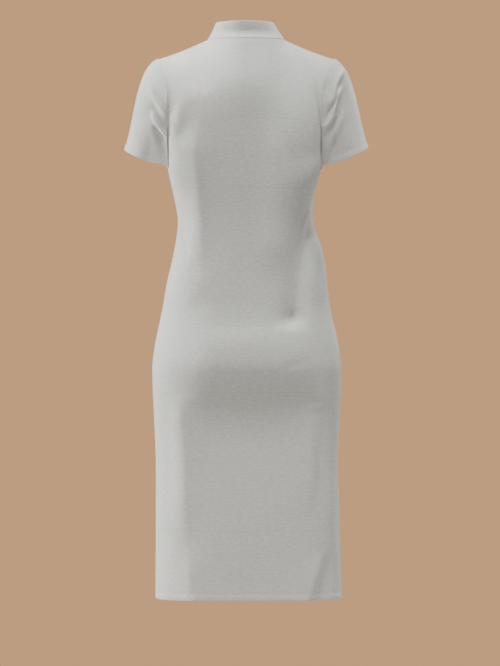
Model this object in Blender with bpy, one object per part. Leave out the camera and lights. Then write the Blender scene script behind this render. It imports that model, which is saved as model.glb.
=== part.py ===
"""Bodycon midi dress in fine knit: stand collar, short set-in sleeves, straight skirt.

The dress keeps the hollow form it has when worn. Metres, +Z up; the front faces
-Y and the wearer's left is +X. The origin is the middle of the shoulder line, at
the base of the neck, where the wearer carries the dress.
"""
import math
from collections import namedtuple

import bmesh
import bpy
import numpy as np

MM = 0.001
CLOTH = 1.5 * MM                # wall of one layer of knit
COLLAR_WALL = 2.6 * MM          # the collar is folded double
SEAM_GAP = 0.3 * MM             # clearance between two pieces sewn together
HEM_DEPTH = 12 * MM             # turned up and stitched, skirt and sleeves
HEM_GAP = 0.5 * MM              # between a hem and the cloth that it is turned up on

# Heights, measured from the shoulder line.
HEM_Z = -1045 * MM
THIGH_Z = -720 * MM
WAIST_Z = -330 * MM
UNDERARM_Z = -178 * MM
HEM_LIFT = 4 * MM               # the side seams draw the hem up
YOKE_DIP = 45 * MM              # how far the rows sag between the underarms

# How sharply something gathers at the edges of a panel, as a power of u.
DIP_POWER = 4
LIFT_POWER = 8
ARMHOLE_POWER = 3
SEAM_FADE = 6                   # folds and fullness die out at the seams

# Bands of the grid that each panel is made on.
HALF_COLUMNS = 10               # from centre line to side seam
SKIRT_ROWS = 6                  # from hem line to mid thigh
HIP_ROWS = 14                   # from mid thigh to waist
RIB_ROWS = 6                    # from waist to underarm
YOKE_ROWS = 10                  # from underarm to shoulder seam
SLEEVE_ROWS = 7
RELAXING = 6                    # passes that even out the yoke round the neck point
RELAX_ENTRY = 4                 # rows over which they set in
COLLAR_ROWS = 3

# Horizontal sections of the dress, in millimetres. The side seam lies at
# seam_y, and front_y and back_y are where the centre lines lie. A roundness of
# 2 makes an ellipse of the back, more is squarer.
Section = namedtuple("Section", "z half_width lean front_y back_y seam_y roundness")
SECTIONS = (
    Section(-1045, 175.0, -5.0, -104, 108, 4, 2.9),
    Section(-900, 172.6, -3.2, -102, 103, 5, 2.9),
    Section(-760, 171.9, -1.5, -105, 98, 6, 2.8),
    Section(-700, 174.6, -1.5, -109, 100, 8, 2.7),
    Section(-650, 176.6, -1.3, -112, 110, 8, 2.6),
    Section(-605, 177.0, -1.2, -113, 117, 8, 2.5),
    Section(-560, 170.7, -1.3, -114, 109, 4, 2.5),
    Section(-505, 158.5, -0.8, -113, 94, -3, 2.7),
    Section(-450, 150.0, -2.0, -108, 89, -9, 3.0),
    Section(-400, 140.4, -3.8, -102, 87, -14, 3.1),
    Section(-330, 127.6, 1.0, -107, 87, -15, 3.1),
    Section(-285, 132.6, 4.0, -120, 90, -10, 3.1),
    Section(-237, 143.4, 2.8, -129, 94, -5, 3.0),
    Section(-178, 148.0, 0.0, -119, 98, 0, 2.9),
    Section(-130, 149.0, 0.0, -104, 99, 0, 2.8),
)
BACK, FRONT = 1, -1
FRONT_ROUNDNESS = 2.2

# Soft fullness that the cloth is cut with, added to a panel along Y.
Fullness = namedtuple("Fullness", "panel x z spread_x spread_z depth")
FULLNESS = (
    Fullness(FRONT, 76, -250, 58, 72, 12),
    Fullness(FRONT, -76, -250, 58, 72, 12),
    Fullness(BACK, 82, -118, 48, 60, 5),
    Fullness(BACK, -82, -118, 48, 60, 5),
)

# The largest folds, each along a curve from start past bend to end. A ridge
# has a positive depth and a trough a negative one.
Fold = namedtuple("Fold", "panel start_x start_z bend_x bend_z end_x end_z width depth")
FOLDS = (
    Fold(BACK, -90, -250, -94, -380, -80, -508, 17, -6),
    Fold(BACK, 84, -520, -4, -556, -110, -496, 15, -7),
    Fold(BACK, -36, -200, -40, -320, -34, -440, 26, 4),
    Fold(BACK, -134, -215, -122, -310, -104, -380, 13, 5),
    Fold(BACK, 86, -436, 92, -486, 128, -505, 14, 4),
    Fold(BACK, -120, -700, -124, -790, -120, -880, 17, 4),
    Fold(BACK, -150, -930, -144, -1000, -139, -1060, 15, -5),
    Fold(BACK, -128, -930, -118, -1000, -110, -1060, 17, 5),
    Fold(BACK, 100, -960, 101, -1010, 102, -1060, 17, 4),
    Fold(FRONT, 122, -310, 90, -372, 96, -440, 16, -5),
    Fold(FRONT, -118, -300, -96, -360, -88, -425, 18, -4),
    Fold(FRONT, 104, -900, 108, -990, 110, -1060, 20, 5),
    Fold(FRONT, -96, -880, -92, -980, -94, -1060, 20, -4),
)
FOLD_SAMPLES = 25

# Neck seam and collar edge: half sizes of a rounded loop about x = 0.
Loop = namedtuple("Loop", "half_width mid_x mid_y back_reach front_reach side_z back_z front_z")
NECK_SEAM = Loop(72.5, 0, -2, 60, 66, 4.5, 9, -48)
COLLAR_EDGE = Loop(55, 1.5, -9, 53, 52, 33, 37.5, -13)
LOOP_FALL = 1.5                 # how gently the loop's height leaves its side
COLLAR_BOW = 1.2 * MM
NECK_POINT = 0.5                # share of the top edge, from the centre, that is neckline
NECK_BLEND = 0.2                # how far past it the cloth still rises towards the neck
NECK_LEAN = 0.55                # slope of the cloth as it arrives at the neckline
NECK_RISE = 0.83
SHOULDER_LEAN = 0.80            # and as it lies over the shoulder, level
SLOPE_STEP = 2 * MM

# Armhole: an oval seen from the side, drawn in towards the blades.
SHOULDER_TIP = (161 * MM, 0.0, -31.5 * MM)
SHOULDER_SAG = 0.8 * MM
ARMHOLE_REACH = {BACK: 52 * MM, FRONT: 48 * MM}
ARMHOLE_CROSS = {BACK: 145 * MM, FRONT: 139 * MM}
ARMHOLE_UNDERARM = 148 * MM
CAP_DROP = 64 * MM              # how far below the tip the seam has drawn in

# Sleeve: the opening runs from its outer corner to its inner one.
Sleeve = namedtuple("Sleeve", "name sign outer_x outer_z inner_x")
SLEEVES = (Sleeve("left", 1, 228.5 * MM, -201 * MM, 147.0 * MM),
           Sleeve("right", -1, 229.5 * MM, -197 * MM, 141.5 * MM))
CUFF_INNER_Z = -236 * MM
CUFF_MID_Y = -14 * MM
CUFF_HALF_DEPTH = 53 * MM
ARM_FORWARD = 0.128             # forward lean of the arm, as a slope
CAP_DIRECTION = (0.95, 0.0, -0.31)
UNDERARM_DIRECTION = (0.15, 0.0, -0.99)
SLEEVE_CLEARANCE = 0.8 * MM     # where the sleeve hangs against the side of the body
CAP_TENSION = 0.80
CUFF_TENSION = 0.85
CAP_CROWDING = 1.3              # above 1 the rings lie closer at the shoulder

KNIT = (0.80, 0.79, 0.77)
KNIT_ROUGHNESS = 0.85
SHARP_ANGLE = math.radians(50)


def hermite(start, start_slope, end, end_slope, t):
    """Cubic from start to end with the given slopes, for t from 0 to 1."""
    return ((2 * t**3 - 3 * t**2 + 1) * start + (t**3 - 2 * t**2 + t) * start_slope
            + (3 * t**2 - 2 * t**3) * end + (t**3 - t**2) * end_slope)


def ease(t):
    t = np.clip(t, 0.0, 1.0)
    return t * t * (3 - 2 * t)


def unit(vectors):
    return vectors / np.linalg.norm(vectors, axis=-1, keepdims=True)


def normals(grid, sign, ring=False):
    """Unit normals of a grid of points; sign turns them outwards."""
    if ring:
        along = np.roll(grid, -1, axis=1) - np.roll(grid, 1, axis=1)
    else:
        along = np.gradient(grid, axis=1)
    return unit(np.cross(np.gradient(grid, axis=0), along)) * sign


def section_value(column, z, scale=MM):
    """One column of SECTIONS at height z, on a smooth curve through the table."""
    heights = np.array([row.z for row in SECTIONS]) * MM
    values = np.array([getattr(row, column) for row in SECTIONS]) * scale
    slopes = np.gradient(values, heights)
    k = np.clip(np.searchsorted(heights, z) - 1, 0, len(heights) - 2)
    span = heights[k + 1] - heights[k]
    return hermite(values[k], slopes[k] * span, values[k + 1], slopes[k + 1] * span,
                   (z - heights[k]) / span)


def section_point(panel, u, z):
    """Point of a panel's section: u runs from -1 at the right seam to 1 at the left."""
    seam_y = section_value("seam_y", z)
    centre_y = section_value("back_y" if panel == BACK else "front_y", z)
    power = section_value("roundness", z, 1) if panel == BACK else FRONT_ROUNDNESS
    turn = u * math.pi / 2
    across = np.abs(np.sin(turn)) / section_value("half_width", z)
    deep = np.abs(np.cos(turn)) / np.abs(centre_y - seam_y)
    radius = (across**power + deep**power) ** (-1 / power)
    return np.stack([section_value("lean", z) + radius * np.sin(turn),
                     seam_y + panel * radius * np.cos(turn), z + 0 * u], axis=-1)


def loop_point(loop, side, turn):
    """Point of a neck loop: turn is 0 at the centre line of one side, pi/2 at the neck point."""
    forward = np.cos(turn)
    reach = loop.back_reach if side == BACK else loop.front_reach
    far_z = loop.back_z if side == BACK else loop.front_z
    height = loop.side_z + (far_z - loop.side_z) * np.abs(forward) ** LOOP_FALL
    return np.stack([loop.mid_x + loop.half_width * np.sin(turn), loop.mid_y + side * reach * forward,
                     height], axis=-1) * MM


def armhole_point(panel, v):
    """Point of the left armhole: v runs from 0 at the underarm to 1 at the shoulder tip."""
    tip_x, tip_y, tip_z = SHOULDER_TIP
    turn = math.pi * (1 - v)
    z = (tip_z + UNDERARM_Z) / 2 + (tip_z - UNDERARM_Z) / 2 * np.cos(turn)
    y = tip_y + panel * ARMHOLE_REACH[panel] * np.sin(turn)
    cross = ARMHOLE_CROSS[panel]
    x = (cross + (tip_x - cross) * ease((z - tip_z + CAP_DROP) / CAP_DROP)
         + (ARMHOLE_UNDERARM - cross) * (1 - ease((z - UNDERARM_Z) / CAP_DROP)))
    return np.stack([x, y, z], axis=-1)


def top_edge(panel, u):
    """Top edge of a panel: neckline in the middle, shoulder seams at both ends."""
    neckline = loop_point(NECK_SEAM, panel, np.clip(np.abs(u) / NECK_POINT, 0, 1) * math.pi / 2)
    along = np.clip((np.abs(u) - NECK_POINT) / (1 - NECK_POINT), 0, 1)[..., None]
    edge = neckline + (np.array(SHOULDER_TIP) - neckline) * along
    edge[..., 2] -= SHOULDER_SAG * np.sin(math.pi * along[..., 0])
    edge[..., 0] *= np.sign(u)
    return edge


def yoke_point(panel, u, v):
    """Point of the yoke: v runs from 0 at the underarm row to 1 at the top edge."""
    foot_z = UNDERARM_Z - YOKE_DIP * (1 - u**DIP_POWER)
    foot = section_point(panel, u, foot_z)
    above, below = (section_point(panel, u, foot_z + step) for step in (SLOPE_STEP, -SLOPE_STEP))
    rise = (above - below) / (2 * SLOPE_STEP)
    top = top_edge(panel, u)
    reach = np.linalg.norm(top - foot, axis=-1)[..., None]
    at_neck = np.array((0.0, -NECK_LEAN * panel, NECK_RISE))
    at_shoulder = np.array((0.0, -SHOULDER_LEAN * panel, 0.0))
    lean = ease(np.abs(u) / (NECK_POINT + NECK_BLEND))[..., None]
    arrive = at_neck + (at_shoulder - at_neck) * lean
    return hermite(foot, rise * reach, top, arrive * reach, v[..., None])


def panel_grid(panel):
    """Outer face of a panel as rows of points from hem to shoulder, with its u values."""
    u = np.linspace(-1, 1, 2 * HALF_COLUMNS + 1)
    bands = ((HEM_Z + HEM_DEPTH, THIGH_Z, SKIRT_ROWS), (THIGH_Z, WAIST_Z, HIP_ROWS),
             (WAIST_Z, UNDERARM_Z, RIB_ROWS))
    levels = np.concatenate([[HEM_Z]] + [np.linspace(*band, endpoint=False) for band in bands])
    across, level = np.meshgrid(u, levels)
    sag = YOKE_DIP * ease((level - WAIST_Z) / (UNDERARM_Z - WAIST_Z))
    lift = HEM_LIFT * ease((THIGH_Z - level) / (THIGH_Z - HEM_Z)) * across**LIFT_POWER
    lower = section_point(panel, across, level + lift - sag * (1 - across**DIP_POWER))
    across, climb = np.meshgrid(u, np.linspace(0, 1, YOKE_ROWS + 1))
    upper = yoke_point(panel, across, climb)
    armhole = armhole_point(panel, np.linspace(0, 1, YOKE_ROWS + 1))
    for column, sign in ((0, -1), (-1, 1)):
        pull = armhole * (sign, 1, 1) - upper[:, column]
        share = np.clip(sign * u, 0, 1) ** ARMHOLE_POWER
        upper = upper + pull[:, None, :] * share[None, :, None]
    grid = np.concatenate([lower, upper])
    inside = np.arange(1, len(grid) - 1)
    share = ease((inside - len(lower) + RELAX_ENTRY / 2) / RELAX_ENTRY)[:, None, None] / 2
    for _ in range(RELAXING):
        eased = (grid[1:-1, :-2] + grid[1:-1, 2:] + grid[:-2, 1:-1] + grid[2:, 1:-1]) / 4
        grid[1:-1, 1:-1] += (eased - grid[1:-1, 1:-1]) * share
    return grid, u


def fold_offset(panel, grid):
    """How far the folds move each point of a grid, outwards."""
    places = grid[..., [0, 2]] / MM
    total = np.zeros(grid.shape[:2])
    t = np.linspace(0, 1, FOLD_SAMPLES)[:, None]
    for fold in FOLDS:
        if fold.panel != panel:
            continue
        start, bend, end = (np.array(pair) for pair in (fold[1:3], fold[3:5], fold[5:7]))
        curve = (1 - t)**2 * start + 2 * t * (1 - t) * bend + t**2 * end
        away = np.linalg.norm(places[:, :, None, :] - curve, axis=-1)
        strength = np.sqrt(np.sin(math.pi * t[:, 0]))[np.argmin(away, axis=-1)]
        total += fold.depth * strength * np.exp(-(away.min(axis=-1) / fold.width) ** 2)
    return total * MM


def shape_panel(panel):
    """Points and outward normals of a panel with its fullness and folds."""
    grid, u = panel_grid(panel)
    for soft in FULLNESS:
        if soft.panel == panel:
            x = (grid[..., 0] / MM - soft.x) / soft.spread_x
            z = (grid[..., 2] / MM - soft.z) / soft.spread_z
            grid[..., 1] += panel * soft.depth * MM * np.exp(-x**2 - z**2) * (1 - u**SEAM_FADE)
    grid = grid + normals(grid, panel) * (fold_offset(panel, grid) * (1 - u**SEAM_FADE))[..., None]
    facing = normals(grid, panel)
    below_armhole = len(grid) - YOKE_ROWS
    on_shoulder = np.abs(u) >= NECK_POINT
    for edge in (0, -1):
        facing[:below_armhole, edge, 1] = 0
        grid[:below_armhole, edge, 1] += panel * SEAM_GAP / 2
    facing[-1, on_shoulder, 1] = 0
    grid[-1, on_shoulder, 1] += panel * SEAM_GAP / 2
    return grid, unit(facing)


def add_wall(name, grid, facing, ring=False, depth=0.0, thickness=CLOTH):
    """Closed solid between two offsets of a grid, inwards from its outer face."""
    bm = bmesh.new()
    outer, inner = ([[bm.verts.new(point) for point in row] for row in grid - facing * offset]
                    for offset in (depth, depth + thickness))
    rows, columns = grid.shape[:2]
    pairs = [(c, (c + 1) % columns) for c in range(columns if ring else columns - 1)]
    for c, d in pairs:
        for r in range(rows - 1):
            for layer in (outer, inner):
                bm.faces.new((layer[r][c], layer[r][d], layer[r + 1][d], layer[r + 1][c]))
        for r in (0, rows - 1):
            bm.faces.new((outer[r][c], outer[r][d], inner[r][d], inner[r][c]))
    if not ring:
        for r in range(rows - 1):
            for c in (0, columns - 1):
                bm.faces.new((outer[r][c], outer[r + 1][c], inner[r + 1][c], inner[r][c]))
    bmesh.ops.recalc_face_normals(bm, faces=bm.faces)
    mesh = bpy.data.meshes.new(name)
    bm.to_mesh(mesh)
    bm.free()
    mesh.shade_smooth()
    mesh.set_sharp_from_angle(angle=SHARP_ANGLE)
    mesh.materials.append(knit_material(name))
    piece = bpy.data.objects.new(name, mesh)
    bpy.context.collection.objects.link(piece)
    return piece


def knit_material(name):
    material = bpy.data.materials.new(name + "_knit")
    material.use_nodes = True
    shader = material.node_tree.nodes["Principled BSDF"]
    shader.inputs["Base Color"].default_value = (*KNIT, 1.0)
    shader.inputs["Roughness"].default_value = KNIT_ROUGHNESS
    shader.inputs["Metallic"].default_value = 0.0
    return material


def sleeve_grid(sleeve):
    """Outer face of a sleeve as rings of points from armhole to opening."""
    step = np.linspace(0, 1, YOKE_ROWS + 1)
    armhole = np.concatenate([armhole_point(BACK, step), armhole_point(FRONT, step[-2:0:-1])])
    armhole[:, 0] += SEAM_GAP
    turn = math.pi * (1 - np.arange(2 * YOKE_ROWS) / YOKE_ROWS)
    outer = np.array((sleeve.outer_x, CUFF_MID_Y, sleeve.outer_z))
    inner = np.array((sleeve.inner_x, CUFF_MID_Y, CUFF_INNER_Z))
    backward = np.array((0.0, 1.0, -ARM_FORWARD)) * CUFF_HALF_DEPTH
    cuff = ((outer + inner) / 2 + np.cos(turn)[:, None] * (outer - inner) / 2
            + np.sin(turn)[:, None] * backward)
    high = ((1 + np.cos(turn)) / 2)[:, None]
    leave = unit(np.array(UNDERARM_DIRECTION) * (1 - high) + np.array(CAP_DIRECTION) * high)
    arrive = unit(np.cross(inner - outer, backward))
    reach = np.linalg.norm(cuff - armhole, axis=-1)[:, None]
    hem_line = 1 - HEM_DEPTH / reach[:, 0]
    steps = (np.arange(SLEEVE_ROWS + 1) / SLEEVE_ROWS) ** CAP_CROWDING
    rows = [hem_line * step for step in steps] + [np.ones_like(hem_line)]
    grid = np.stack([hermite(armhole, leave * reach * CAP_TENSION, cuff, arrive * reach * CUFF_TENSION,
                             row[:, None]) for row in rows])
    return keep_off_body(grid, sleeve) * (sleeve.sign, 1, 1)


def keep_off_body(grid, sleeve):
    """Move the rings of a sleeve that would sink into the side of the body just clear of it."""
    x, y, z = grid[1:, :, 0], grid[1:, :, 1], np.minimum(grid[1:, :, 2], UNDERARM_Z)
    seam_y = section_value("seam_y", z)
    behind = y > seam_y
    centre_y = np.where(behind, section_value("back_y", z), section_value("front_y", z))
    power = np.where(behind, section_value("roundness", z, 1), FRONT_ROUNDNESS)
    deep = np.clip((y - seam_y) / (centre_y - seam_y), 0, 1)
    side = section_value("half_width", z) * (1 - deep**power) ** (1 / power)
    side += sleeve.sign * section_value("lean", z) + SLEEVE_CLEARANCE
    grid[1:, :, 0] = np.where(grid[1:, :, 2] < UNDERARM_Z, np.maximum(x, side), x)
    return grid


def sleeve_facing(grid, sleeve, shaped):
    """Outward normals of a sleeve; over the shoulder its first ring lies as the panels do."""
    facing = normals(grid, -sleeve.sign, ring=True)
    edge = -1 if sleeve.sign > 0 else 0
    back, front = (shaped[panel][1][-YOKE_ROWS - 1:, edge] for panel in (BACK, FRONT))
    armhole = np.concatenate([back, front[-2:0:-1]])
    high = ease((1 - np.cos(math.pi * np.arange(2 * YOKE_ROWS) / YOKE_ROWS)) / 2)[:, None]
    facing[0] = unit(facing[0] * (1 - high) + armhole * high)
    return facing


def collar_grid():
    """Outer face of the stand collar as rings of points from neck seam to edge."""
    half = np.linspace(-1, 1, HALF_COLUMNS + 1) * math.pi / 2
    rings = [np.concatenate([loop_point(loop, BACK, half), loop_point(loop, FRONT, half[-2:0:-1])])
             for loop in (NECK_SEAM, COLLAR_EDGE)]
    seam, edge = rings
    seam[:, 2] += SEAM_GAP
    outwards = unit((seam - seam.mean(axis=0)) * (1, 1, 0))
    rise = np.linspace(0, 1, COLLAR_ROWS + 1)[:, None, None]
    return seam + (edge - seam) * rise + outwards * COLLAR_BOW * np.sin(math.pi * rise)


def build():
    for stale in list(bpy.data.objects):
        bpy.data.objects.remove(stale)
    shaped = {panel: shape_panel(panel) for panel in (BACK, FRONT)}
    add_wall("back_panel", *shaped[BACK])
    add_wall("front_panel", *shaped[FRONT])
    hem_parts = [np.concatenate([shaped[BACK][k][:2], shaped[FRONT][k][:2, -2:0:-1]], axis=1) for k in (0, 1)]
    add_wall("skirt_hem", *hem_parts, ring=True, depth=CLOTH + HEM_GAP)
    for sleeve in SLEEVES:
        grid = sleeve_grid(sleeve)
        facing = sleeve_facing(grid, sleeve, shaped)
        add_wall("sleeve_" + sleeve.name, grid, facing, ring=True)
        add_wall("sleeve_hem_" + sleeve.name, grid[-2:], facing[-2:], ring=True, depth=CLOTH + HEM_GAP)
    collar = collar_grid()
    facing = normals(collar, BACK, ring=True)
    facing[0] = unit(facing[0] * (1, 1, 0))        # the collar's foot is level, just above the panels
    add_wall("collar", collar, facing, ring=True, thickness=COLLAR_WALL)


build()
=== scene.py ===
import math

import bmesh
import bpy
import numpy as np
from mathutils import Matrix, Vector


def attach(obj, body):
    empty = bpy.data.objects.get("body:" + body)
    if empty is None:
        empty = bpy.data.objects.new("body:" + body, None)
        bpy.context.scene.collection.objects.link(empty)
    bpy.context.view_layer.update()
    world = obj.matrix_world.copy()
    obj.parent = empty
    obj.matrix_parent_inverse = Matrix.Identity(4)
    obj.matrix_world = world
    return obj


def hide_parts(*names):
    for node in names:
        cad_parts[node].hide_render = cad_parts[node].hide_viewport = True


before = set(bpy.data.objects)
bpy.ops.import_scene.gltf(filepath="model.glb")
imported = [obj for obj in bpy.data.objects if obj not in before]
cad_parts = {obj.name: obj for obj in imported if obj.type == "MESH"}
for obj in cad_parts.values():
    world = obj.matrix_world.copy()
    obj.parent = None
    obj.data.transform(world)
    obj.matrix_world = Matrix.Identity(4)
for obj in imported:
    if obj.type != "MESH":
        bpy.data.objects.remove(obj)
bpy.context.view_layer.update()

# White knit midi dress, worn form with nobody in it. Front -Y, wearer's left +X.
# Lengths in the settings are millimetres, in the scene metres.
mm = 0.001
back, front = 1, -1


def hermite(start, startSlope, end, endSlope, t):
    return ((2 * t**3 - 3 * t**2 + 1) * start + (t**3 - 2 * t**2 + t) * startSlope
            + (3 * t**2 - 2 * t**3) * end + (t**3 - t**2) * endSlope)


def ease(t):
    t = np.clip(t, 0.0, 1.0)
    return t * t * (3 - 2 * t)


def unit(vectors):
    return vectors / np.linalg.norm(vectors, axis=-1, keepdims=True)


def facings(grid, sign, ring=False):
    along = np.roll(grid, -1, axis=1) - np.roll(grid, 1, axis=1) if ring else np.gradient(grid, axis=1)
    return unit(np.cross(np.gradient(grid, axis=0), along)) * sign


def refine(grid, counts, ring=False):
    # smooth curves through the rows of a grid, counts[k] steps from row k to the next
    if ring:
        grid = np.concatenate([grid[-3:], grid, grid[:4]])
        counts = list(counts[-3:]) + list(counts) + list(counts[:3])
    apart = np.linalg.norm(np.diff(grid, axis=0), axis=-1).mean(axis=1)
    slope = np.gradient(grid, np.concatenate([[0], np.cumsum(apart)]), axis=0)
    rows = []
    for k, count in enumerate(counts):
        t = np.arange(count)[:, None, None] / count
        rows.append(hermite(grid[k], slope[k] * apart[k], grid[k + 1], slope[k + 1] * apart[k], t))
    if ring:
        return np.concatenate(rows[3:-3])
    return np.concatenate(rows + [grid[-1:]])


def refineAcross(grid, counts, ring=False):
    return refine(grid.swapaxes(0, 1), counts, ring).swapaxes(0, 1)


def lengthsAlong(grid, axis):
    step = np.linalg.norm(np.diff(grid, axis=axis), axis=-1)
    zero = np.zeros_like(np.take(step, [0], axis=axis))
    return np.concatenate([zero, np.cumsum(step, axis=axis)], axis=axis)


def wander(places, seed, size, octaves=(0.6, 1.0, 1.7)):
    # soft uneven wave from -1 to 1 along a length, the same on each run
    draw = np.random.default_rng(seed)
    total = np.zeros_like(places)
    for octave in octaves:
        total += np.sin(places * 2 * math.pi * octave / size + draw.uniform(0, 2 * math.pi))
    return total / len(octaves)


body = {
    "hemZ": -1045, "hemDepth": 12, "thighZ": -720, "waistZ": -330, "underarmZ": -178,
    "hemLift": 4, "yokeDip": 45, "dipPower": 4, "liftPower": 8, "armholePower": 3,
    "columns": 10, "skirtRows": 6, "hipRows": 14, "ribRows": 6, "yokeRows": 10,
    "relaxing": 6, "relaxEntry": 4, "frontRoundness": 2.2,
    "cloth": 1.5, "seamGap": 0.04,
    # rows over which the top edge is put right, and how late fullness and folds end at the sides
    "topRows": 5, "sidePower": 6,
    # height: (half width, lean, front y, back y, seam y, roundness of the back)
    "sections": {
        -1045: (175.0, -5.0, -104, 108, 4, 2.9),
        -900: (172.6, -3.2, -102, 103, 5, 2.9),
        -760: (171.9, -1.5, -105, 98, 6, 2.8),
        -700: (174.6, -1.5, -109, 100, 8, 2.7),
        -650: (176.6, -1.3, -112, 110, 8, 2.6),
        -605: (177.0, -1.2, -113, 117, 8, 2.5),
        -560: (170.7, -1.3, -114, 109, 4, 2.5),
        -505: (158.5, -0.8, -113, 94, -3, 2.7),
        -450: (150.0, -2.0, -108, 89, -9, 3.0),
        -400: (140.4, -3.8, -102, 87, -14, 3.1),
        -330: (127.6, 1.0, -107, 87, -15, 3.6),
        -285: (132.6, 4.0, -120, 90, -10, 4.5),
        -237: (143.6, 2.9, -129, 94, -5, 6.4),
        -178: (147.8, 3.0, -119, 98, 0, 6.5),
        -130: (148.8, 3.0, -104, 99, 0, 7.0),
    },
    # steps that each band of the control grid is refined to
    "fineAcross": 6, "fineHemBand": 6, "fineSkirt": 15, "fineHip": 8, "fineRib": 7, "fineYoke": 10,
    # soft fullness of the chest, of the shoulder blades, and of the small of the back, which
    # turns a little to the left: (side, x, z, spread x, spread z, depth)
    "fullness": [(front, 76, -250, 58, 72, 12), (front, -76, -250, 58, 72, 12),
                 (back, 96, -106, 46, 46, 8), (back, -82, -118, 48, 60, 5),
                 (back, -95, -275, 85, 70, 4), (back, 152, -285, 64, 62, -9)],
}

neck = {
    "seam": {"halfWidth": 72.5, "midX": 0, "midY": -2, "back": 60, "front": 66,
             "sideZ": 4.5, "backZ": 4, "frontZ": -48},
    "edge": {"halfWidth": 54, "midX": 2, "midY": -9, "back": 53, "front": 52,
             "sideZ": 36.5, "backZ": 38, "frontZ": -13},
    "fall": 1.5,
    # its share of the top edge, and how the cloth slopes there and at the shoulder
    "share": 0.5, "blend": 0.2, "lean": {back: 0.78, front: 0.55}, "rise": 0.83,
    "shoulderLean": 0.80, "slopeStep": 2,
}

armhole = {
    "tip": (161, 0, -31.5), "sag": 1.6, "capDrop": 64, "underarmX": 148,
    "reach": {back: 84, front: 48}, "cross": {back: 145, front: 139},
    "square": {back: 0.5, front: 1.0},
    # how far to the left both armholes lie below the shoulder
    "lean": 3.0,
}


def sectionValue(column, z):
    heights = np.array(sorted(body["sections"]), dtype=float)
    values = np.array([body["sections"][int(h)][column] for h in heights], dtype=float)
    slopes = np.gradient(values, heights)
    k = np.clip(np.searchsorted(heights, z) - 1, 0, len(heights) - 2)
    span = heights[k + 1] - heights[k]
    climb = (z - heights[k]) / span
    return hermite(values[k], slopes[k] * span, values[k + 1], slopes[k + 1] * span, climb)


def sectionAt(z):
    return (sectionValue(column, z) for column in range(6))


def sectionPoint(side, u, z):
    halfWidth, lean, frontY, backY, seamY, roundness = sectionAt(z)
    power = roundness if side == back else body["frontRoundness"]
    turn = u * math.pi / 2
    across = np.abs(np.sin(turn)) / halfWidth
    deep = np.abs(np.cos(turn)) / np.abs((backY if side == back else frontY) - seamY)
    radius = (across**power + deep**power) ** (-1 / power)
    x, y = lean + radius * np.sin(turn), seamY + side * radius * np.cos(turn)
    return np.stack([x, y, z + 0 * u], axis=-1)


def loopPoint(loop, side, turn):
    far = np.cos(turn)
    reach, farZ = (loop["back"], loop["backZ"]) if side == back else (loop["front"], loop["frontZ"])
    z = loop["sideZ"] + (farZ - loop["sideZ"]) * np.abs(far) ** neck["fall"]
    x = loop["midX"] + loop["halfWidth"] * np.sin(turn)
    return np.stack([x, loop["midY"] + side * reach * far, z], axis=-1)


def armholePoint(side, v):
    tipX, tipY, tipZ = armhole["tip"]
    lowZ, cross, drop = body["underarmZ"], armhole["cross"][side], armhole["capDrop"]
    turn = math.pi * (1 - v)
    z = (tipZ + lowZ) / 2 + (tipZ - lowZ) / 2 * np.cos(turn)
    x = (cross + (tipX - cross) * ease((z - tipZ + drop) / drop)
         + (armhole["underarmX"] - cross) * (1 - ease((z - lowZ) / drop)))
    depth = np.abs(np.sin(turn)) ** armhole["square"][side]
    return np.stack([x, tipY + side * armhole["reach"][side] * depth, z], axis=-1)


def topEdge(side, u):
    edge = loopPoint(neck["seam"], side, np.clip(np.abs(u) / neck["share"], 0, 1) * math.pi / 2)
    along = np.clip((np.abs(u) - neck["share"]) / (1 - neck["share"]), 0, 1)[..., None]
    edge = edge + (np.array(armhole["tip"]) - edge) * along
    edge[..., 2] -= armhole["sag"] * np.sin(math.pi * along[..., 0])
    edge[..., 0] *= np.sign(u)
    return edge


def yokePoint(side, u, v):
    footZ = body["underarmZ"] - body["yokeDip"] * (1 - u ** body["dipPower"])
    foot = sectionPoint(side, u, footZ)
    step = neck["slopeStep"]
    rise = (sectionPoint(side, u, footZ + step) - sectionPoint(side, u, footZ - step)) / (2 * step)
    top = topEdge(side, u)
    reach = np.linalg.norm(top - foot, axis=-1)[..., None]
    atNeck = np.array((0.0, -neck["lean"][side] * side, neck["rise"]))
    atShoulder = np.array((0.0, -neck["shoulderLean"] * side, 0.0))
    towardsShoulder = ease(np.abs(u) / (neck["share"] + neck["blend"]))[..., None]
    arrive = atNeck + (atShoulder - atNeck) * towardsShoulder
    return hermite(foot, rise * reach, top, arrive * reach, v[..., None])


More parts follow.
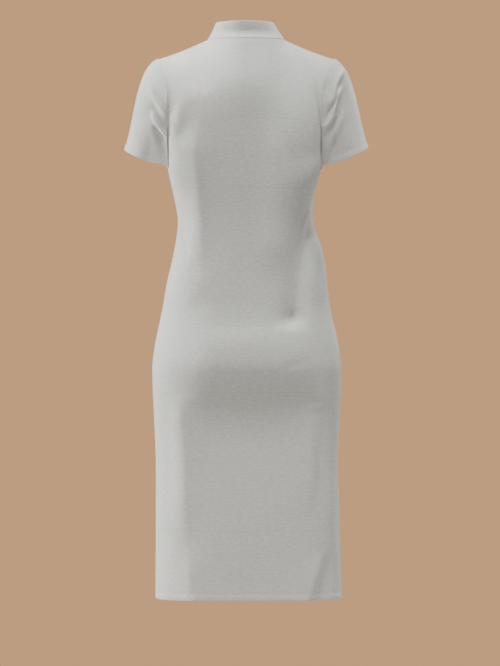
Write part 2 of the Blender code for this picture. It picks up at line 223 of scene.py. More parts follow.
def controlGrid(side):
    u = np.linspace(-1, 1, 2 * body["columns"] + 1)
    hemZ, thighZ, waistZ, underarmZ = (body[key] for key in ("hemZ", "thighZ", "waistZ", "underarmZ"))
    bands = ((hemZ + body["hemDepth"], thighZ, "skirtRows"), (thighZ, waistZ, "hipRows"),
             (waistZ, underarmZ, "ribRows"))
    levels = np.concatenate([[hemZ]] + [np.linspace(low, high, body[rows], endpoint=False)
                                        for low, high, rows in bands])
    across, level = np.meshgrid(u, levels)
    sag = body["yokeDip"] * ease((level - waistZ) / (underarmZ - waistZ))
    lift = body["hemLift"] * ease((thighZ - level) / (thighZ - hemZ)) * across ** body["liftPower"]
    lower = sectionPoint(side, across, level + lift - sag * (1 - across ** body["dipPower"]))
    across, climb = np.meshgrid(u, np.linspace(0, 1, body["yokeRows"] + 1))
    upper = yokePoint(side, across, climb)
    hole = armholePoint(side, np.linspace(0, 1, body["yokeRows"] + 1))
    aside = armhole["lean"] * ease((armhole["tip"][2] - hole[:, 2]) / armhole["capDrop"])
    for column, sign in ((0, -1), (-1, 1)):
        pull = hole * (sign, 1, 1) - upper[:, column]
        pull[:, 0] += aside
        near = np.clip(sign * u, 0, 1) ** body["armholePower"]
        upper = upper + pull[:, None, :] * near[None, :, None]
    grid = np.concatenate([lower, upper])
    inside = np.arange(1, len(grid) - 1)
    share = ease((inside - len(lower) + body["relaxEntry"] / 2) / body["relaxEntry"])[:, None, None] / 2
    for _ in range(body["relaxing"]):
        eased = (grid[1:-1, :-2] + grid[1:-1, 2:] + grid[:-2, 1:-1] + grid[2:, 1:-1]) / 4
        grid[1:-1, 1:-1] += (eased - grid[1:-1, 1:-1]) * share
    return grid


def fineGrid(side):
    counts = [body["fineHemBand"]]
    for fine, rows in (("fineSkirt", "skirtRows"), ("fineHip", "hipRows"), ("fineRib", "ribRows"),
                       ("fineYoke", "yokeRows")):
        counts += [body[fine]] * body[rows]
    grid = refineAcross(controlGrid(side), [body["fineAcross"]] * (2 * body["columns"]))
    grid = refine(grid, counts)
    u = np.linspace(-1, 1, grid.shape[1])
    # the neck point is a corner that the smooth grid rounds off, so the top edge is put right
    miss = topEdge(side, u) - grid[-1]
    up = np.arange(len(grid)) - (len(grid) - 1)
    grid = grid + miss[None] * np.exp(up / body["topRows"])[:, None, None]
    for s, x, z, spreadX, spreadZ, depth in body["fullness"]:
        if s == side:
            bump = np.exp(-((grid[..., 0] - x) / spreadX) ** 2 - ((grid[..., 2] - z) / spreadZ) ** 2)
            grid[..., 1] += side * depth * bump * (1 - u ** body["sidePower"])
    return grid, u


# A fold follows a smooth line through its points (x, z). It has a spread to the left and one
# to the right of that line, going from the first point to the last, and a depth: positive
# for a ridge, negative for a trough. Two more numbers are the shares of its length over
# which it fades in and out, foldEnds where they are left out. It is worked out as far away
# as foldReach times its spread.
foldReach, foldEnds, shortestFade = 3.2, (0.35, 0.35), 1e-3


def foldLine(points, samples=60):
    points = np.array(points, dtype=float)
    place = np.concatenate([[0], np.cumsum(np.linalg.norm(np.diff(points, axis=0), axis=1))])
    slope = np.gradient(points, place, axis=0)
    t = np.linspace(0, place[-1], samples)
    k = np.clip(np.searchsorted(place, t, side="right") - 1, 0, len(points) - 2)
    span = (place[k + 1] - place[k])[:, None]
    local = (t[:, None] - place[k][:, None]) / span
    return hermite(points[k], slope[k] * span, points[k + 1], slope[k + 1] * span, local)


def foldOffset(places, folds):
    # places: (..., 2) in millimetres; how far the folds lift each of them
    flat = places.reshape(-1, 2)
    total = np.zeros(len(flat))
    for points, wide, depth, *ends in folds:
        line = foldLine(points)
        reach = foldReach * max(wide)
        near = np.all((flat > line.min(axis=0) - reach) & (flat < line.max(axis=0) + reach), axis=1)
        gap = flat[near][:, None, :] - line[None]
        away = np.linalg.norm(gap, axis=-1)
        k = away.argmin(axis=1)
        tangent = np.gradient(line, axis=0)[k]
        offset = gap[np.arange(len(k)), k]
        leftOf = tangent[:, 0] * offset[:, 1] - tangent[:, 1] * offset[:, 0] > 0
        spread = np.where(leftOf, wide[0], wide[1])
        t = k / (len(line) - 1)
        fadeIn, fadeOut = ends or foldEnds
        strength = ease(t / fadeIn) * ease((1 - t) / max(fadeOut, shortestFade))
        total[near] += depth * strength * np.exp(-(away[np.arange(len(k)), k] / spread) ** 2)
    return total.reshape(places.shape[:-1])


bodyFolds = {
    back: [
        # cloth that bridges from the blades to the seat, with an edge down its left side
        ([(95, -150), (92, -190), (89, -236), (87, -300), (86, -352), (87, -440)],
         (24, 14), 4.8, 0.25, 0.3),
        ([(-50, -140), (-55, -200), (-57, -320), (-54, -400), (-48, -460)], (26, 20), 5.5, 0.25, 0.28),
        # the long trough down to the right side of the seat, and a short one on the left
        ([(-130, -262), (-125, -300), (-118, -340), (-110, -391), (-103, -447), (-98, -490),
          (-90, -549)], (25, 15), -14, 0.45, 0.12),
        ([(112, -300), (116, -360), (116, -420)], (14, 12), -3),
        # where the cloth lands on the seat
        ([(84, -522), (40, -535), (-8, -534), (-60, -528), (-106, -503)], (15, 24), -1.7, 0.25, 0.1),
        ([(-46, -530), (-84, -524), (-112, -508)], (10, 18), -5.4, 0.5, 0.35),
        # soft fullness below the right blade
        ([(-90, -104), (-86, -190), (-75, -280), (-68, -370), (-66, -450)], (44, 24), 4.5, 0.25, 0.3),
        # pocket at the end of the long trough
        ([(-74, -508), (-92, -511), (-112, -504)], (15, 11), -2.0, 0.4, 0.3),
        # curl above the left hip
        ([(86, -425), (88, -458), (95, -477), (108, -492), (130, -504)], (20, 14), 1.2),
        ([(80, -456), (86, -480), (98, -498), (122, -514)], (14, 12), -0.6),
        # fullness under the neck, and a hollow beside the left armhole
        ([(76, -78), (0, -82), (-76, -78)], (48, 32), 5, 0.4, 0.4),
        ([(101, -92), (104, -120), (110, -150), (120, -180), (130, -210)], (16, 24), -5, 0.35, 0.3),
        # drag lines at the waist
        ([(125, -336), (120, -360), (112, -385), (103, -408)], (4, 4), -2.4),
        ([(132, -340), (128, -368), (119, -394), (110, -415)], (5, 4), 1.6),
        ([(-134, -295), (-120, -325), (-112, -353), (-109, -385)], (3, 6), 3.2),
        ([(-124, -335), (-124, -358), (-122, -380)], (5, 5), -3),
        ([(-127, -330), (-134, -372), (-145, -420), (-152, -470)], (4, 7), 3.6),
        ([(-119, -350), (-126, -385), (-137, -430), (-143, -470)], (7, 4), -2.6),
        # under the seat
        ([(120, -578), (40, -575), (-40, -575), (-140, -578)], (34, 38), 3, 0.2, 0.15),
        ([(100, -690), (40, -692), (-40, -692), (-150, -688)], (100, 42), -7, 0.2, 0.15),
        ([(-66, -613), (-95, -607), (-124, -597)], (6, 10), -1),
        # the skirt's own edges, one down each side
        ([(112, -650), (123, -690), (119, -760), (116, -820), (118, -900), (121, -960)],
         (20, 17), 6, 0.2, 0.35),
        ([(156, -660), (156, -740), (154, -820), (154, -900)], (13, 18), -3),
        ([(-119, -660), (-121, -740), (-121, -820), (-124, -900)], (20, 8), 5),
        ([(-144, -660), (-144, -740), (-142, -820), (-144, -900)], (10, 14), -3),
        # flares at the hem
        ([(-141, -950), (-131, -993), (-117, -1040), (-114, -1052)], (22, 8), 6, 0.5, 0.0),
        ([(-160, -940), (-150, -1000), (-140, -1052)], (14, 14), -5, 0.5, 0.0),
        ([(112, -950), (104, -1010), (98, -1052)], (17, 17), 4, 0.5, 0.0),
        ([(10, -980), (14, -1020), (15, -1052)], (24, 24), -1.5, 0.5, 0.0),
        # small creases inside the right armhole
        ([(-120, -49), (-125, -57), (-131, -66)], (3, 3), -1.3),
        ([(-112, -68), (-119, -84), (-122, -102)], (4, 5), 0.9),
        ([(-128, -72), (-131, -90), (-130, -110)], (5, 5), 1.0),
    ],
    front: [
        # drag lines from the armholes to the fullest part
        ([(128, -120), (110, -150), (98, -185)], (7, 9), 2.2),
        ([(-128, -118), (-112, -146), (-100, -180)], (9, 7), 2.4),
        ([(132, -150), (112, -178), (86, -206)], (8, 6), -2.6),
        ([(-134, -158), (-116, -182), (-88, -204)], (6, 8), -2.4),
        ([(136, -196), (116, -212), (92, -224)], (6, 7), 2.0),
        ([(-138, -204), (-120, -216), (-96, -228)], (7, 6), 1.8),
        ([(24, -262), (0, -257), (-26, -264)], (14, 12), 1.6),
        # below the chest
        ([(122, -310), (94, -372), (96, -440)], (16, 16), -5),
        ([(-118, -300), (-98, -360), (-88, -425)], (18, 18), -4),
        ([(66, -300), (58, -345), (60, -400)], (18, 14), -3),
        ([(-18, -300), (-30, -350), (-24, -410)], (24, 20), -2),
        # at the waist
        ([(134, -330), (124, -365), (110, -395)], (6, 5), 2.4),
        ([(-134, -322), (-122, -352), (-104, -384)], (5, 7), 2.6),
        ([(122, -352), (96, -366), (58, -370)], (5, 7), 2.2),
        ([(126, -376), (100, -392), (70, -398)], (6, 5), -2.4),
        ([(-124, -346), (-100, -362), (-62, -368)], (7, 5), -2.2),
        ([(-122, -372), (-96, -384), (-66, -386)], (5, 6), 1.8),
        # over the hips and thighs
        ([(132, -466), (90, -500), (30, -512)], (12, 16), -2.4),
        ([(-134, -458), (-96, -492), (-44, -506)], (16, 12), -2.6),
        ([(118, -560), (80, -590), (20, -600)], (9, 12), -2.2),
        ([(-122, -548), (-86, -576), (-30, -590)], (12, 9), -2.0),
        ([(66, -640), (60, -720), (68, -800)], (26, 22), -3),
        ([(-58, -650), (-62, -730), (-56, -820)], (22, 28), -2.6),
        # flares at the hem
        ([(104, -900), (108, -990), (110, -1052)], (20, 20), 5, 0.5, 0.0),
        ([(-96, -880), (-93, -980), (-94, -1052)], (20, 20), -4, 0.5, 0.0),
        ([(-126, -930), (-128, -1000), (-130, -1052)], (16, 10), 3.5, 0.5, 0.0),
        ([(18, -930), (12, -1000), (12, -1052)], (24, 24), 2.4, 0.5, 0.0),
    ],
}


# Both cloths roll in a little at a seam, and pucker along it. A hem is turned up inside and
# stitched, which puffs the band and pulls in the line of stitches.
seam = {"roll": 0.8, "width": 2.4, "pucker": 0.35, "puckerWidth": 7, "puckerSize": 15,
        "topstitch": 3.6, "groove": 0.45, "grooveWidth": 1.5, "cornerWidth": 6,
        "sideSeeds": (3, 5), "topSeed": 7, "armholeSeed": 17, "collarSeed": 29}
hem = {"depth": body["hemDepth"], "puff": 0.35, "groove": 0.5, "grooveWidth": 2.0,
       "pucker": 0.3, "puckerWidth": 6, "puckerSize": 11, "inside": 0.15,
       "skirtSeed": 11, "sleeveSeed": 23}


def seamRoll(away, along, seed):
    pucker = seam["pucker"] * wander(along, seed, seam["puckerSize"])
    pucker = pucker * np.exp(-(away / seam["puckerWidth"]) ** 2)
    close = np.exp(-(away / seam["width"]) ** 2)
    return pucker * (1 - close) - seam["roll"] * close


def hemShape(away, along, seed):
    fromLine = away - hem["depth"]
    band = hem["puff"] * np.sin(math.pi * np.clip(away / hem["depth"], 0, 1))
    line = hem["groove"] * np.exp(-(fromLine / hem["grooveWidth"]) ** 2)
    pucker = hem["pucker"] * wander(along, seed, hem["puckerSize"])
    return band - line + pucker * np.exp(-(fromLine / hem["puckerWidth"]) ** 2)


def shapeBody(side):
    grid, u = fineGrid(side)
    across, up = lengthsAlong(grid, 1), lengthsAlong(grid, 0)
    uv = np.stack([across - across[:, [grid.shape[1] // 2]], up], axis=-1)
    lift = foldOffset(grid[..., [0, 2]], bodyFolds[side]) * (1 - u ** body["sidePower"])
    grid = grid + facings(grid, side) * lift[..., None]
    facing = facings(grid, side)
    yoke = body["yokeRows"] * body["fineYoke"]
    onShoulder = np.abs(u) >= neck["share"]
    for edge in (0, -1):
        facing[:len(grid) - yoke, edge, 1] = 0
        grid[:len(grid) - yoke, edge, 1] += side * body["seamGap"] / 2
    facing[-1, onShoulder, 1] = 0
    grid[-1, onShoulder, 1] += side * body["seamGap"] / 2
    facing = unit(facing)
    x, z = grid[..., 0], grid[..., 2]
    toEnd, toTop = across[:, -1:] - across, up[-1] - up
    atSides = sum(seamRoll(away, z, seed) for away, seed in zip((across, toEnd), seam["sideSeeds"]))
    groove = seam["groove"] * np.exp(-((toTop - seam["topstitch"]) / seam["grooveWidth"]) ** 2)
    atTop = seamRoll(toTop, x, seam["topSeed"]) - groove * ~onShoulder
    roll = atSides + atTop * (1 - np.exp(-(np.minimum(across, toEnd) / seam["cornerWidth"]) ** 2))
    roll = roll + hemShape(up, x, hem["skirtSeed"] + side)
    return {"grid": grid + facing * roll[..., None], "plain": grid, "facing": facing, "uv": uv, "u": u}


wallFinish = {"edgeRound": 0.5, "segments": 2, "edgeAngle": 50, "weld": 1e-6}


def clothSheet(name, grid, uv, sign, wall, material, ring=False, edgeRound=wallFinish["edgeRound"]):
    # grid in millimetres; the faces look outwards and the wall grows inwards
    rows, columns = grid.shape[:2]
    if ring:
        grid = np.concatenate([grid, grid[:, :1]], axis=1)
        columns += 1
    bm = bmesh.new()
    bmesh.ops.create_grid(bm, x_segments=columns - 1, y_segments=rows - 1, size=0.5)
    layer = bm.loops.layers.uv.new("cloth")
    spots = {}
    for vert in bm.verts:
        c = round((vert.co.x + 0.5) * (columns - 1))
        r = round((vert.co.y + 0.5) * (rows - 1))
        spots[vert] = (r, c)
        vert.co = grid[r, c] * mm
    for face in bm.faces:
        for loop in face.loops:
            loop[layer].uv = uv[spots[loop.vert]] * mm
    if sign > 0:
        bmesh.ops.reverse_faces(bm, faces=bm.faces)
    if ring:
        ends = [vert for vert in bm.verts if spots[vert][1] in (0, columns - 1)]
        bmesh.ops.remove_doubles(bm, verts=ends, dist=wallFinish["weld"])
    for face in bm.faces:
        face.smooth = True
    piece = objectFrom(bm, name)
    solid = piece.modifiers.new("wall", "SOLIDIFY")
    solid.thickness = wall * mm
    solid.offset = -1
    bevel = piece.modifiers.new("edge", "BEVEL")
    bevel.width = edgeRound * mm
    bevel.segments = wallFinish["segments"]
    bevel.limit_method = "ANGLE"
    bevel.angle_limit = math.radians(wallFinish["edgeAngle"])
    piece.data.materials.append(material)
    return piece


def closedUv(uv):
    # a ring's coordinates with one more column, so that they run on over its seam
    return np.concatenate([uv, uv[:, -1:] + (uv[:, -1:] - uv[:, -2:-1])], axis=1)


def objectFrom(bm, name):
    mesh = bpy.data.meshes.new(name)
    bm.to_mesh(mesh)
    bm.free()
    piece = bpy.data.objects.new(name, mesh)
    bpy.context.scene.collection.objects.link(piece)
    return piece


# Plain knit: columns of small V-shaped loops, drawn in the cloth's own coordinates (metres)
knitLook = {
    "colour": (0.81, 0.81, 0.75), "shade": 0.07, "roughness": 0.9, "sheen": 0.12,
    "wale": 0.0013, "course": 0.0010, "slant": 1.5, "yarnDepth": 0.3, "height": 0.00016,
    # uneven yarn: speckles and short rows that show a little more or less, per metre
    "speckles": (400, 360), "rows": (100, 290), "speckleTone": 2.2, "rowTone": 2.6,
    "speckleHeight": 2.2, "rowHeight": 1.8,
    # a slightly heavier course at regular heights
    "bandPitch": 0.129, "bandWidth": 0.0016, "bandTone": 1.0,
}
collarLook = {**knitLook, "wale": 0.0016, "slant": 0.2, "height": 0.0002}
threadLook = {"colour": (0.86, 0.86, 0.82), "roughness": 0.6}


def mathNode(tree, operation, *values):
    node = tree.nodes.new("ShaderNodeMath")
    node.operation = operation
    for socket, value in zip(node.inputs, values):
        if isinstance(value, (int, float)):
            socket.default_value = value
        else:
            tree.links.new(value, socket)
    return node.outputs[0]


def stretchedNoise(tree, place, scaleX, scaleY):
    # from about -0.5 to 0.5
    mapping = tree.nodes.new("ShaderNodeMapping")
    mapping.inputs["Scale"].default_value = (scaleX, scaleY, 1)
    noise = tree.nodes.new("ShaderNodeTexNoise")
    noise.inputs["Scale"].default_value = 1
    noise.inputs["Detail"].default_value = 1
    tree.links.new(place, mapping.inputs["Vector"])
    tree.links.new(mapping.outputs["Vector"], noise.inputs["Vector"])
    return mathNode(tree, "SUBTRACT", noise.outputs["Fac"], 0.5)


def knitMaterial(name, look):
    material = bpy.data.materials.new(name)
    material.use_nodes = True
    tree = material.node_tree
    shader = tree.nodes["Principled BSDF"]
    shader.inputs["Roughness"].default_value = look["roughness"]
    shader.inputs["Sheen Weight"].default_value = look["sheen"]
    place = tree.nodes.new("ShaderNodeUVMap")
    place.uv_map = "cloth"
    split = tree.nodes.new("ShaderNodeSeparateXYZ")
    tree.links.new(place.outputs["UV"], split.inputs[0])
    across, up = split.outputs["X"], split.outputs["Y"]
    wale = mathNode(tree, "DIVIDE", across, look["wale"])
    arm = mathNode(tree, "ABSOLUTE", mathNode(tree, "SUBTRACT", mathNode(tree, "FRACT", wale), 0.5))
    course = mathNode(tree, "DIVIDE", up, look["course"])
    leaning = mathNode(tree, "ADD", course, mathNode(tree, "MULTIPLY", arm, look["slant"]))
    yarn = mathNode(tree, "SINE", mathNode(tree, "MULTIPLY", leaning, 2 * math.pi))
    ridge = mathNode(tree, "SINE", mathNode(tree, "MULTIPLY", arm, 2 * math.pi))
    yarn = mathNode(tree, "MULTIPLY_ADD", yarn, look["yarnDepth"], 1 - look["yarnDepth"])
    loops = mathNode(tree, "MULTIPLY", ridge, yarn)
    speckle = stretchedNoise(tree, place.outputs["UV"], *look["speckles"])
    row = stretchedNoise(tree, place.outputs["UV"], *look["rows"])
    band = mathNode(tree, "FRACT", mathNode(tree, "DIVIDE", up, look["bandPitch"]))
    band = mathNode(tree, "LESS_THAN", band, look["bandWidth"] / look["bandPitch"])
    tone = mathNode(tree, "MULTIPLY_ADD", speckle, look["speckleTone"], 0.5)
    tone = mathNode(tree, "ADD", tone, mathNode(tree, "MULTIPLY", row, look["rowTone"]))
    tone = mathNode(tree, "SUBTRACT", tone, mathNode(tree, "MULTIPLY", band, look["bandTone"]))
    relief = mathNode(tree, "ADD", loops, mathNode(tree, "MULTIPLY", speckle, look["speckleHeight"]))
    relief = mathNode(tree, "ADD", relief, mathNode(tree, "MULTIPLY", row, look["rowHeight"]))
    blend = tree.nodes.new("ShaderNodeMix")
    blend.data_type = "RGBA"
    light, dark = ([c * (1 + turn * look["shade"]) for c in look["colour"]] for turn in (1, -1))
    blend.inputs["A"].default_value = (*dark, 1)
    blend.inputs["B"].default_value = (*light, 1)
    tree.links.new(tone, blend.inputs["Factor"])
    tree.links.new(blend.outputs["Result"], shader.inputs["Base Color"])
    bump = tree.nodes.new("ShaderNodeBump")
    bump.inputs["Strength"].default_value = 1
    bump.inputs["Distance"].default_value = look["height"]
    tree.links.new(relief, bump.inputs["Height"])
    tree.links.new(bump.outputs["Normal"], shader.inputs["Normal"])
    return material


def plainMaterial(name, colour, roughness):
    material = bpy.data.materials.new(name)
    material.use_nodes = True
    shader = material.node_tree.nodes["Principled BSDF"]
    shader.inputs["Base Color"].default_value = (*colour, 1)
    shader.inputs["Roughness"].default_value = roughness
    return material


knit = knitMaterial("whiteKnit", knitLook)
collarKnit = knitMaterial("collarRib", collarLook)
thread = plainMaterial("whiteThread", **threadLook)

shaped = {side: shapeBody(side) for side in (back, front)}
for side, name, node in ((back, "backPanel", "back_panel"), (front, "frontPanel", "front_panel")):
    part = shaped[side]
    piece = clothSheet(name, part["grid"], part["uv"], side, body["cloth"], knit)
    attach(piece, "root")
    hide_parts(node)
    print(name, part["grid"].shape)
print("panels made")

sleeveCut = {
    "left": {"sign": 1, "outer": (228.5, -201), "innerX": 145.0, "innerBack": 0.35},
    "right": {"sign": -1, "outer": (229.5, -197), "innerX": 138.5, "innerBack": 0.3},
    "innerZ": -236, "midY": -8, "halfDepth": 60, "forward": 0.128, "rows": 7, "crowding": 1.3,
    "capDirection": (0.95, 0.0, -0.31), "underarmDirection": (0.15, 0.0, -0.99),
    "capTension": 0.80, "cuffTension": 0.85,
    # the back of the cuff is squarer, and its inner corner hangs higher
    "innerSquare": 0.45, "outerSquare": 0.62, "cornerLift": 5,
    # the inner side lies against the body: where round the cuff that starts, and over what share
    "clearance": -1.2, "hugBack": (0.05, 0.45), "hugFront": (0.85, 0.15),
    # folds start below the armhole seam, and are shallower on the front of the arm
    "foldStart": 9, "foldTurn": 2.5, "frontFold": 0.6,
    "fineAlong": 15, "fineHem": 7, "topRows": 6,
}


def againstTheBody(grid, sign, hug):
    x, y, z = grid[1:, :, 0], grid[1:, :, 1], np.minimum(grid[1:, :, 2], body["underarmZ"])
    halfWidth, lean, frontY, backY, seamY, roundness = sectionAt(z)
    behind = y > seamY
    power = np.where(behind, roundness, body["frontRoundness"])
    deep = np.clip((y - seamY) / (np.where(behind, backY, frontY) - seamY), 0, 1)
    flank = halfWidth * (1 - deep**power) ** (1 / power) + sign * lean + sleeveCut["clearance"]
    x = np.where(grid[1:, :, 2] < body["underarmZ"], np.maximum(x, flank), x)
    grid[1:, :, 0] = x - np.maximum(x - flank, 0) * hug
    return grid


def sleeveControl(side):
    cut = sleeveCut[side]
    n = body["yokeRows"]
    step = np.linspace(0, 1, n + 1)
    hole = np.concatenate([armholePoint(back, step), armholePoint(front, step[-2:0:-1])])
    hole[:, 0] += body["seamGap"]
    turn = math.pi * (1 - np.arange(2 * n) / n)
    outer = np.array((cut["outer"][0], sleeveCut["midY"], cut["outer"][1]))
    inner = np.array((cut["innerX"], sleeveCut["midY"], sleeveCut["innerZ"]))
    backward = np.array((0.0, 1.0, -sleeveCut["forward"])) * sleeveCut["halfDepth"]
    inwards = np.clip(-np.cos(turn), 0, 1)
    corner = np.abs(np.sin(turn)) ** sleeveCut["innerSquare"] * (1 + cut["innerBack"] * inwards)
    hugging = (inwards > 0) & (turn > 0)
    plump = np.where(turn > 0, np.abs(np.sin(turn)) ** sleeveCut["outerSquare"], np.sin(turn))
    deep = np.where(hugging, corner, plump)
    wide = np.where(hugging, -inwards ** sleeveCut["innerSquare"], np.cos(turn))
    cuff = (outer + inner) / 2 + wide[:, None] * (outer - inner) / 2 + deep[:, None] * backward
    cuff[:, 2] += sleeveCut["cornerLift"] * 2 * np.where(hugging, inwards * np.sin(turn), 0)
    high = ((1 + np.cos(turn)) / 2)[:, None]
    underarm, cap = (np.array(sleeveCut[key]) for key in ("underarmDirection", "capDirection"))
    leave = unit(underarm * (1 - high) + cap * high)
    arrive = unit(np.cross(inner - outer, backward))
    reach = np.linalg.norm(cuff - hole, axis=-1)[:, None]
    hemLine = 1 - hem["depth"] / reach[:, 0]
    steps = (np.arange(sleeveCut["rows"] + 1) / sleeveCut["rows"]) ** sleeveCut["crowding"]
    rows = [hemLine * step for step in steps] + [np.ones_like(hemLine)]
    grid = np.stack([hermite(hole, leave * reach * sleeveCut["capTension"], cuff,
                             arrive * reach * sleeveCut["cuffTension"], row[:, None]) for row in rows])
    atBack, atFront = (ease((inwards - start) / share)
                       for start, share in (sleeveCut["hugBack"], sleeveCut["hugFront"]))
    hug = atBack * np.where(turn > 0, 1, atFront)
    return againstTheBody(grid, cut["sign"], hug) * (cut["sign"], 1, 1)


# as the folds of the body, seen from behind
sleeveFolds = {
    "left": [
        ([(181, -80), (167, -113), (146, -140)], (4.2, 3.4), 4.5, 0.35, 0.3),
        ([(177, -114), (167, -134), (154, -150)], (6, 6), -3),
        ([(177, -131), (172, -143), (160, -164), (144, -186)], (4.6, 3.2), 5, 0.25, 0.3),
        ([(172, -154), (161, -177), (151, -196)], (7, 7), -4.5),
        ([(166, -180), (156, -198), (149, -216)], (7, 7), -1.6),
        ([(184, -100), (178, -130), (172, -160)], (7, 7), -1.4),
        ([(196, -70), (200, -110), (203, -150)], (14, 14), 1.6),
        ([(190, -170), (184, -205), (182, -236)], (14, 14), -1.4, 0.5, 0.2),
    ],
    "right": [
        ([(-186, -50), (-170, -78), (-160, -112), (-151, -130)], (6, 5), 5, 0.25, 0.25),
        ([(-150, -58), (-147, -84), (-149, -108)], (5, 5), -2.6),
        ([(-183, -80), (-168, -114), (-159, -147), (-142, -170)], (4.6, 2.6), 5, 0.25, 0.15),
        ([(-173, -97), (-163, -121), (-150, -144)], (2.2, 2.2), -2.4),
        ([(-170, -146), (-160, -168), (-146, -184)], (4.6, 4.6), -2.6),
        ([(-186, -130), (-167, -167), (-155, -188), (-144, -206)], (7, 5), 4, 0.3, 0.2),
        ([(-173, -170), (-166, -188), (-160, -206)], (5, 5), -2.4),
        ([(-147, -196), (-145, -214), (-144, -230)], (4, 4), 2, 0.4, 0.2),
        ([(-197, -150), (-200, -178), (-200, -205)], (14, 14), 1.4, 0.5, 0.2),
    ],
}


def shapeSleeve(side):
    sign = sleeveCut[side]["sign"]
    counts = [sleeveCut["fineAlong"]] * sleeveCut["rows"] + [sleeveCut["fineHem"]]
    grid = refineAcross(sleeveControl(side), [body["fineYoke"]] * (2 * body["yokeRows"]), ring=True)
    grid = refine(grid, counts)
    yoke = body["yokeRows"] * body["fineYoke"]
    edge = -1 if sign > 0 else 0

    def aroundHole(key):
        backEdge, frontEdge = (shaped[s][key][-yoke - 1:, edge] for s in (back, front))
        return np.concatenate([backEdge, frontEdge[-2:0:-1]])

    miss = aroundHole("plain") + (sign * body["seamGap"], 0, 0) - grid[0]
    grid = grid + miss[None] * np.exp(-np.arange(len(grid)) / sleeveCut["topRows"])[:, None, None]
    around, along = lengthsAlong(grid, 1), lengthsAlong(grid, 0)
    uv = np.stack([around, along], axis=-1)
    facing = facings(grid, -sign, ring=True)
    lift = foldOffset(grid[..., [0, 2]], sleeveFolds[side])
    behind = facing[..., 1] * sleeveCut["foldTurn"]
    lift = lift * np.where(behind > 0, ease(behind), sleeveCut["frontFold"] * ease(-behind))
    lift = lift * ease(along / sleeveCut["foldStart"])
    lift = lift + seamRoll(along, around, seam["armholeSeed"] + sign) * (along > 0)
    lift = lift + hemShape(along[-1] - along, around, hem["sleeveSeed"] + sign)
    grid = grid + facing * lift[..., None]
    grid[0] += aroundHole("grid") - aroundHole("plain")
    return {"grid": grid, "facing": facing, "uv": closedUv(uv), "sign": sign}


sleeves = {side: shapeSleeve(side) for side in ("left", "right")}
for side, part in sleeves.items():
    name = "sleeve" + side.capitalize()
    piece = clothSheet(name, part["grid"], part["uv"], -part["sign"], body["cloth"], knit, ring=True)
    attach(piece, "root")
    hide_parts("sleeve_" + side)
    print(name, part["grid"].shape)
print("sleeves made")

# The band is hollow under its thick rim at the back of the neck: (share of the height,
# spread, depth) for each. Both reach hollowTurn round from a point that is hollowAside off
# the middle, and start above the lowest footShare of the height.
collar = {"wall": 2.6, "edgeRound": 1.1, "bow": -0.6, "columns": 160, "rows": 24,
          "hollow": (0.32, 0.34, -8.0), "rim": (0.97, 0.16, 1.8), "footShare": 0.2,
          "hollowTurn": 1.15, "hollowAside": 0.15, "hollowPower": 4}


def shapeCollar():
    n = collar["columns"] // 2
    half = np.linspace(-1, 1, n + 1) * math.pi / 2
    foot, edge = (np.concatenate([loopPoint(neck[key], back, half),
                                  loopPoint(neck[key], front, half[-2:0:-1])])
                  for key in ("seam", "edge"))
    foot[:, 2] += body["seamGap"]
    outwards = unit((foot - foot.mean(axis=0)) * (1, 1, 0))
    rise = np.linspace(0, 1, collar["rows"] + 1)[:, None, None]
    turn = np.concatenate([half, half[-2:0:-1]])
    away = (turn - collar["hollowAside"]) / collar["hollowTurn"]
    behind = np.concatenate([np.ones(n + 1), np.zeros(n - 1)]) * np.exp(-away ** collar["hollowPower"])
    shape = collar["bow"] * np.sin(math.pi * rise[..., 0])
    for key in ("hollow", "rim"):
        place, spread, depth = collar[key]
        bump = depth * np.exp(-((rise[..., 0] - place) / spread) ** 2)
        shape = shape + bump * ease(rise[..., 0] / collar["footShare"]) * behind
    grid = foot + (edge - foot) * rise + outwards * shape[..., None]
    uv = np.stack([lengthsAlong(grid, 1), lengthsAlong(grid, 0)], axis=-1)
    grid = grid + outwards * seamRoll(uv[..., 1], uv[..., 0], seam["collarSeed"])[..., None]
    return {"grid": grid, "uv": closedUv(uv)}


part = shapeCollar()
piece = clothSheet("collarBand", part["grid"], part["uv"], back, collar["wall"], collarKnit,
                   ring=True, edgeRound=collar["edgeRound"])
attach(piece, "root")
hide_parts("collar")
print("collar made")

hemUp = body["fineHemBand"] + 1
skirtRing = {key: np.concatenate([shaped[back][key][:hemUp], shaped[front][key][:hemUp, -2:0:-1]],
                                 axis=1) for key in ("grid", "facing")}
hemRings = [("skirtHem", "skirt_hem", skirtRing, back)]
for side, part in sleeves.items():
    last = sleeveCut["fineHem"] + 1
    ring = {key: part[key][-last:] for key in ("grid", "facing")}
    hemRings.append(("sleeveHem" + side.capitalize(), "sleeve_hem_" + side, ring, -part["sign"]))
for name, node, ring, sign in hemRings:
    inner = ring["grid"] - ring["facing"] * (body["cloth"] + hem["inside"])
    uv = closedUv(np.stack([lengthsAlong(inner, 1), lengthsAlong(inner, 0)], axis=-1))
    piece = clothSheet(name, inner, uv, sign, body["cloth"], knit, ring=True)
    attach(piece, "root")
    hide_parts(node)
print("hems made")

stitch = {"pitch": 3.6, "length": 2.5, "wide": 0.6, "high": 0.6, "sunk": 0.06, "neckShare": 0.97}


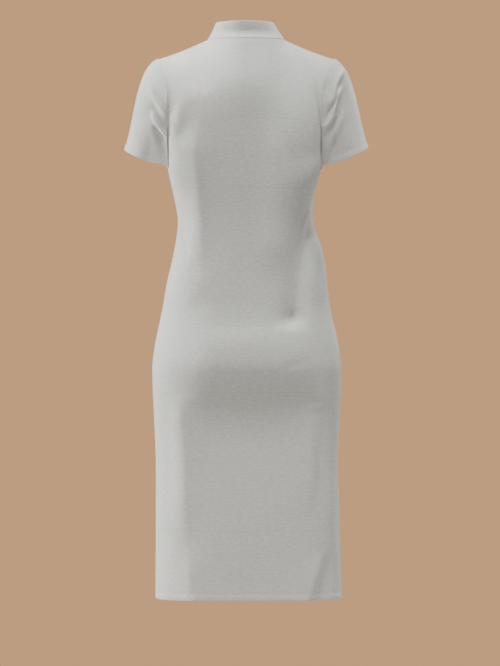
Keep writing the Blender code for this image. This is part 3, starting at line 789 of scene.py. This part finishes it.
def stitchRow(name, path, facing):
    # path: a closed line of points on the cloth, in millimetres
    path, facing = (np.concatenate([line, line[:1]]) for line in (path, facing))
    place = np.concatenate([[0], np.cumsum(np.linalg.norm(np.diff(path, axis=0), axis=1))])
    count = round(place[-1] / stitch["pitch"])
    halfSize = [stitch[key] / 2 * mm for key in ("length", "wide", "high")]
    bm = bmesh.new()
    for middle in (np.arange(count) + 0.5) * place[-1] / count:
        ends = [np.array([np.interp(middle + step, place, path[:, k]) for k in range(3)])
                for step in (-stitch["length"] / 2, 0, stitch["length"] / 2)]
        outwards = Vector([np.interp(middle, place, facing[:, k]) for k in range(3)]).normalized()
        along = Vector(ends[2] - ends[0]).normalized()
        across = outwards.cross(along).normalized()
        turn = Matrix((along, across, outwards)).transposed().to_4x4()
        size = Matrix.Diagonal((*halfSize, 1))
        spot = Matrix.Translation((Vector(ends[1]) - outwards * stitch["sunk"]) * mm)
        bmesh.ops.create_icosphere(bm, subdivisions=1, radius=1, matrix=spot @ turn @ size)
    for face in bm.faces:
        face.smooth = True
    piece = objectFrom(bm, name)
    piece.data.materials.append(thread)
    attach(piece, "root")


line = body["fineHemBand"]
stitchRow("skirtHemStitches", skirtRing["grid"][line], skirtRing["facing"][line])
for side, part in sleeves.items():
    line = -1 - sleeveCut["fineHem"]
    stitchRow(f"sleeveHem{side.capitalize()}Stitches", part["grid"][line], part["facing"][line])
atNeck = np.abs(shaped[back]["u"]) <= neck["share"] * stitch["neckShare"]


def belowNeck(side, key):
    # the line on the yoke that is one topstitch away from the collar
    up = lengthsAlong(shaped[side]["grid"], 0)[:, atNeck]
    rows = shaped[side][key][:, atNeck]
    away = up[-1] - up
    return np.stack([[np.interp(-seam["topstitch"], -away[:, c], rows[:, c, axis]) for axis in range(3)]
                     for c in range(rows.shape[1])])


stitchRow("neckStitches", *(np.concatenate([belowNeck(back, key), belowNeck(front, key)[::-1]])
                            for key in ("grid", "facing")))
print("stitches made")
studio = {
    "floorZ": -1.35, "floorRadius": 1.8, "floorSegments": 96,
    "floorLook": {"colour": (0.52, 0.49, 0.46), "roughness": 0.9},
    "backdrop": (0.720, 0.402, 0.193), "fill": (0.07, 0.07, 0.07),
    # (place, size, power)
    "lights": {
        "keyLight": ((3.4, -0.4, 0.2), 0.9, 140),
        "topLight": ((0.1, 1.5, 4.5), 1.6, 219),
        "rightTopLight": ((-2.0, 1.0, 3.6), 1.4, 15),
        "rimLight": ((-3.4, 0.5, 1.1), 1.0, 28),
        "sideBackLight": ((3.0, 3.4, 2.2), 1.6, 84),
        "frontLight": ((-2.6, -3.6, 2.4), 1.6, 135),
    },
    "aim": (0, 0, -0.45),
    # narrow beams on the sleeve in the shade and on the left shoulder:
    # (place, size, power, aim, degrees)
    "beams": {
        "sleeveBeam": ((-1.35, 1.25, -0.2), 0.1, 0.03, (-0.215, 0, -0.14), 10),
        "shoulderBeam": ((0.7, 1.3, 1.0), 0.1, 0.034, (0.12, 0.05, -0.053), 7),
    },
    "cameraPlace": (-0.0075, 8.347, -0.547), "lens": 240, "sensor": 36, "farthest": 100,
}


def areaLight(name, place, size, power, aim=studio["aim"], spread=180):
    light = bpy.data.lights.new(name, "AREA")
    light.shape = "DISK"
    light.size = size
    light.energy = power
    light.spread = math.radians(spread)
    lamp = bpy.data.objects.new(name, light)
    lamp.location = place
    lamp.rotation_euler = (Vector(aim) - Vector(place)).to_track_quat("-Z", "Y").to_euler()
    bpy.context.scene.collection.objects.link(lamp)


for name, (place, size, power) in studio["lights"].items():
    areaLight(name, place, size, power)
for name, beam in studio["beams"].items():
    areaLight(name, *beam)

bm = bmesh.new()
bmesh.ops.create_circle(bm, cap_ends=True, segments=studio["floorSegments"],
                        radius=studio["floorRadius"], matrix=Matrix.Translation((0, 0, studio["floorZ"])))
floor = objectFrom(bm, "studioFloor")
floor.data.materials.append(plainMaterial("floorPaint", **studio["floorLook"]))

world = bpy.data.worlds.new("studioAir")
bpy.context.scene.world = world
world.use_nodes = True
nodes, links = world.node_tree.nodes, world.node_tree.links
nodes.clear()
out = nodes.new("ShaderNodeOutputWorld")
mix = nodes.new("ShaderNodeMixShader")
seen = nodes.new("ShaderNodeLightPath")
fill = nodes.new("ShaderNodeBackground")
fill.inputs["Color"].default_value = (*studio["fill"], 1)
wall = nodes.new("ShaderNodeBackground")
wall.inputs["Color"].default_value = (*studio["backdrop"], 1)
links.new(seen.outputs["Is Camera Ray"], mix.inputs[0])
links.new(fill.outputs[0], mix.inputs[1])
links.new(wall.outputs[0], mix.inputs[2])
links.new(mix.outputs[0], out.inputs["Surface"])

cam = bpy.data.cameras.new("studioCamera")
cam.lens = studio["lens"]
cam.sensor_width = studio["sensor"]
cam.clip_end = studio["farthest"]
camera = bpy.data.objects.new("studioCamera", cam)
camera.location = studio["cameraPlace"]
# level, from behind the dress
camera.rotation_euler = (math.radians(90), 0, math.radians(180))
bpy.context.scene.collection.objects.link(camera)
bpy.context.scene.camera = camera
print("studio made")
